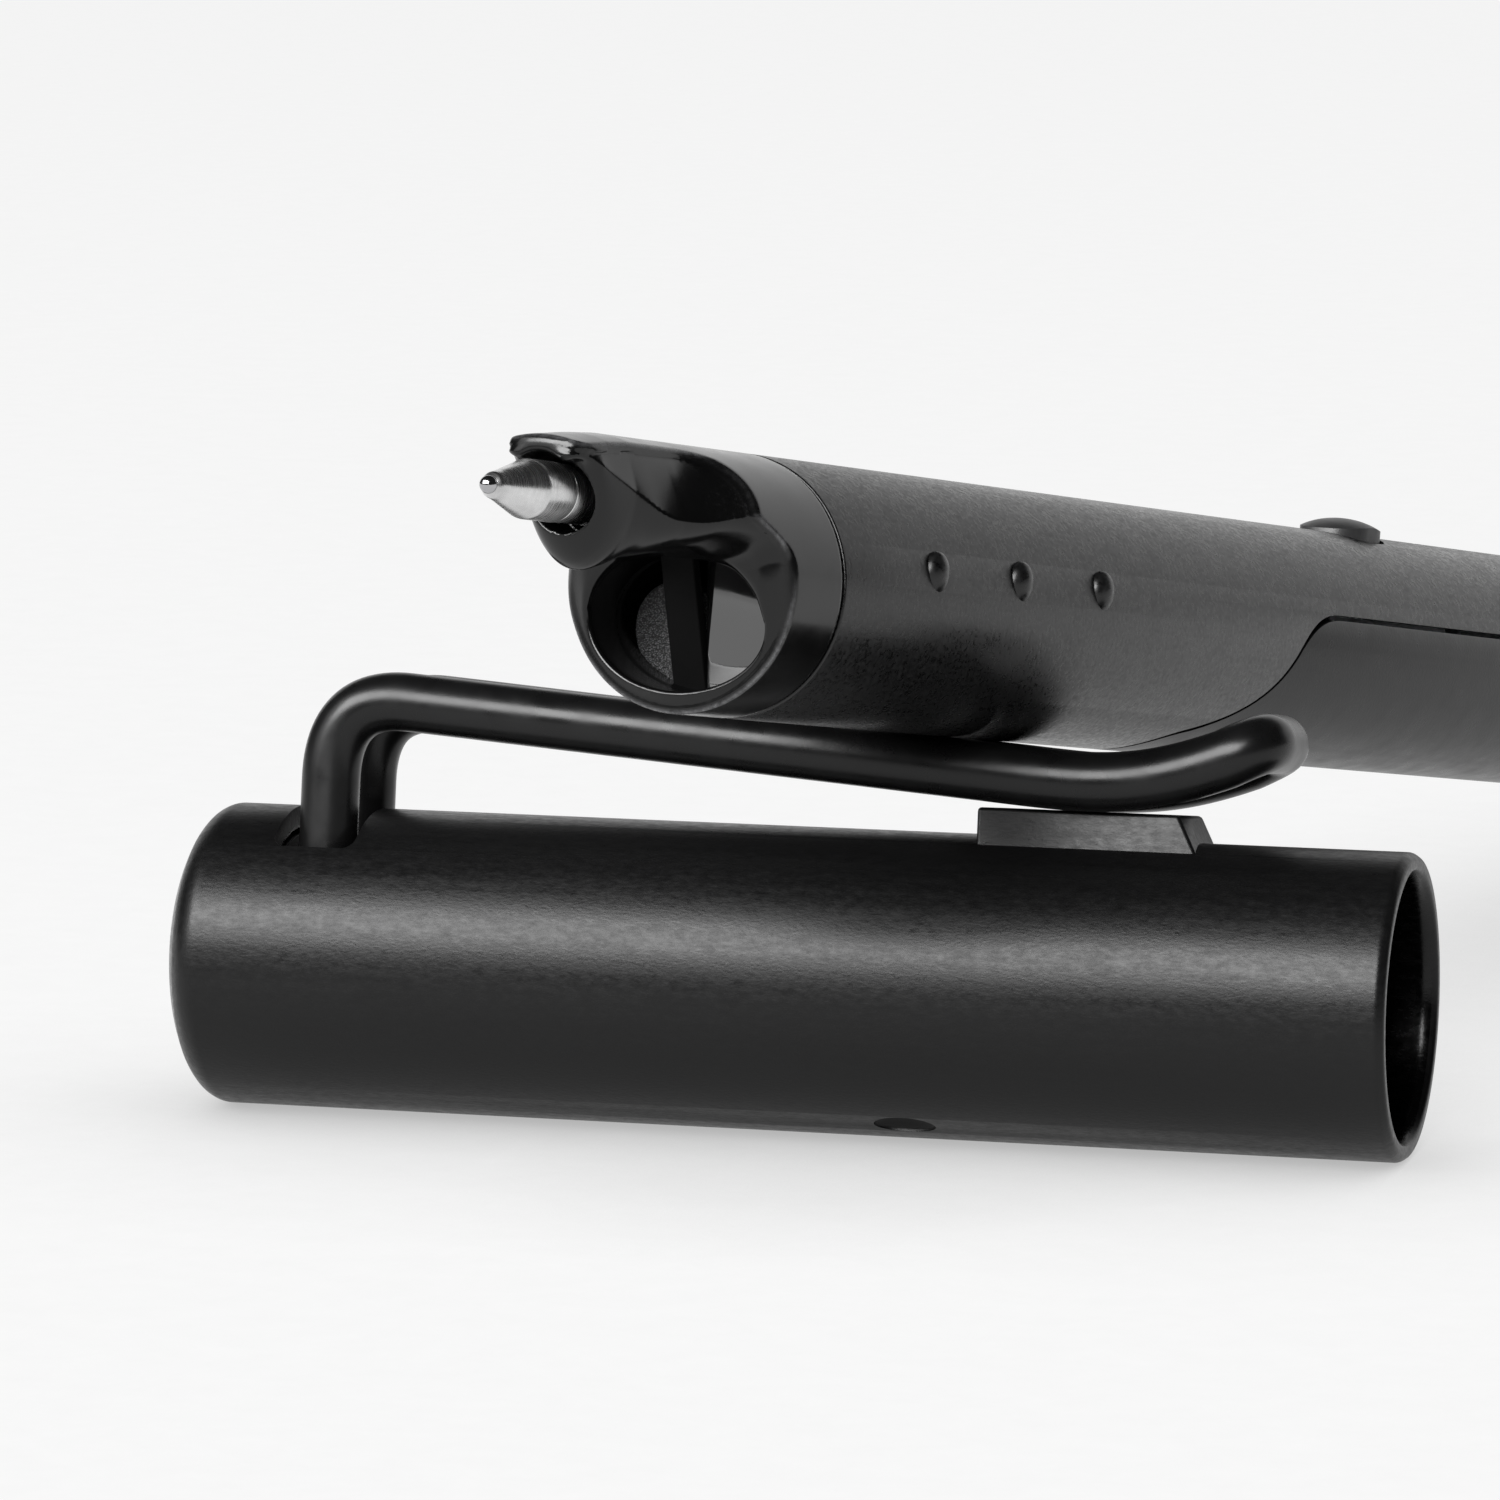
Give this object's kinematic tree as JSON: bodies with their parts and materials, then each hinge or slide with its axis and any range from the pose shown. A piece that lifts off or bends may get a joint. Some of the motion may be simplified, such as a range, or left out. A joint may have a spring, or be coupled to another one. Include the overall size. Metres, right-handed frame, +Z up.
{
  "type": "digital ballpoint pen",
  "caption": "Slim black digital ballpoint pen lying uncapped across the wire clip of its cap, with a scooped camera nose, power button and pull-out refill.",
  "frame": {"origin": "middle of the footprint of the cap and the pen as they lie, on the surface that they lie on", "axes": "+Z up; +X along the cap's axis, from its closed end to its mouth; +Y level and away from the pen's nose, so that the pen runs mostly along +Y, its nose at -Y and raised, its tail at +Y on the surface"},
  "size_m": [0.0644, 0.1296, 0.032],
  "materials": {
    "anodised": "black anodised, fine blasted satin",
    "wire": "black gloss coated wire",
    "nose": "polished black moulding",
    "shell": "finely textured soft-feel black",
    "cover": "smooth satin black",
    "button": "satin black",
    "tail": "polished black moulding",
    "steel": "bright drawn and turned metal",
    "carbide": "polished ball",
    "inner": "plain dark moulding",
    "baffle": "light-absorbing black",
    "window": "infrared-pass window, black to the eye",
    "diffuser": "fine sparkling diffuser",
    "board": "solder-masked circuit board",
    "chip": "moulded chip package",
    "cell": "plain lithium cell can",
    "silicone": "soft ring"
  },
  "bodies": {
    "cap": {"cap_shell": "anodised", "clip_anchor": "inner", "anchor_screw": "steel", "nose_stop_ring": "silicone"},
    "clip": {"clip_wire": "wire"},
    "pen": {"nose_cone": "nose", "light_baffle": "baffle", "diffuser_disc": "diffuser", "camera_window": "window", "infrared_emitter": "chip", "camera_lens": "window", "lens_barrel": "inner", "image_sensor": "chip", "sensor_board": "board", "upper_shell": "shell", "lower_cover": "cover", "tail_cap": "tail", "charging_socket": "steel", "board_tray": "inner", "main_board": "board", "processor_chip": "chip", "memory_chip": "chip", "radio_chip": "chip", "chip_antenna": "diffuser", "battery": "cell", "power_board": "board", "charger_chip": "chip", "button_switch": "chip", "status_light": "diffuser", "force_sensor": "steel"},
    "button": {"power_button": "button"},
    "carrier": {"refill_carrier": "inner"},
    "refill": {"refill_ball": "carbide", "refill_tip": "steel", "refill_tube": "steel"}
  },
  "joints": [
    {"name": "clip_flex", "type": "hinge", "parent": "cap", "child": "clip", "pos_m": [-0.02584, -0.03156, 0.0063], "axis": [0, -0.9877, 0.1564], "range_deg": [0, 5], "stiffness_Nm_per_rad": 0.6, "springref_deg": -5.73},
    {"name": "pen_lift", "type": "slide", "parent": "clip", "child": "pen", "axis": [0, 0, 1], "range_m": [0, 0.08]},
    {"name": "button_press", "type": "slide", "parent": "pen", "child": "button", "axis": [-0.046, -0.1599, -0.9861], "range_m": [0, 0.0004], "stiffness_N_per_m": 3000, "springref_m": -0.0002},
    {"name": "refill_press", "type": "slide", "parent": "pen", "child": "carrier", "axis": [0.2725, 0.9477, -0.1664], "range_m": [0, 0.00025], "stiffness_N_per_m": 4000, "springref_m": -0.0002},
    {"name": "refill_pull", "type": "slide", "parent": "carrier", "child": "refill", "axis": [-0.2725, -0.9477, 0.1664], "range_m": [0, 0.07]}
  ]
}
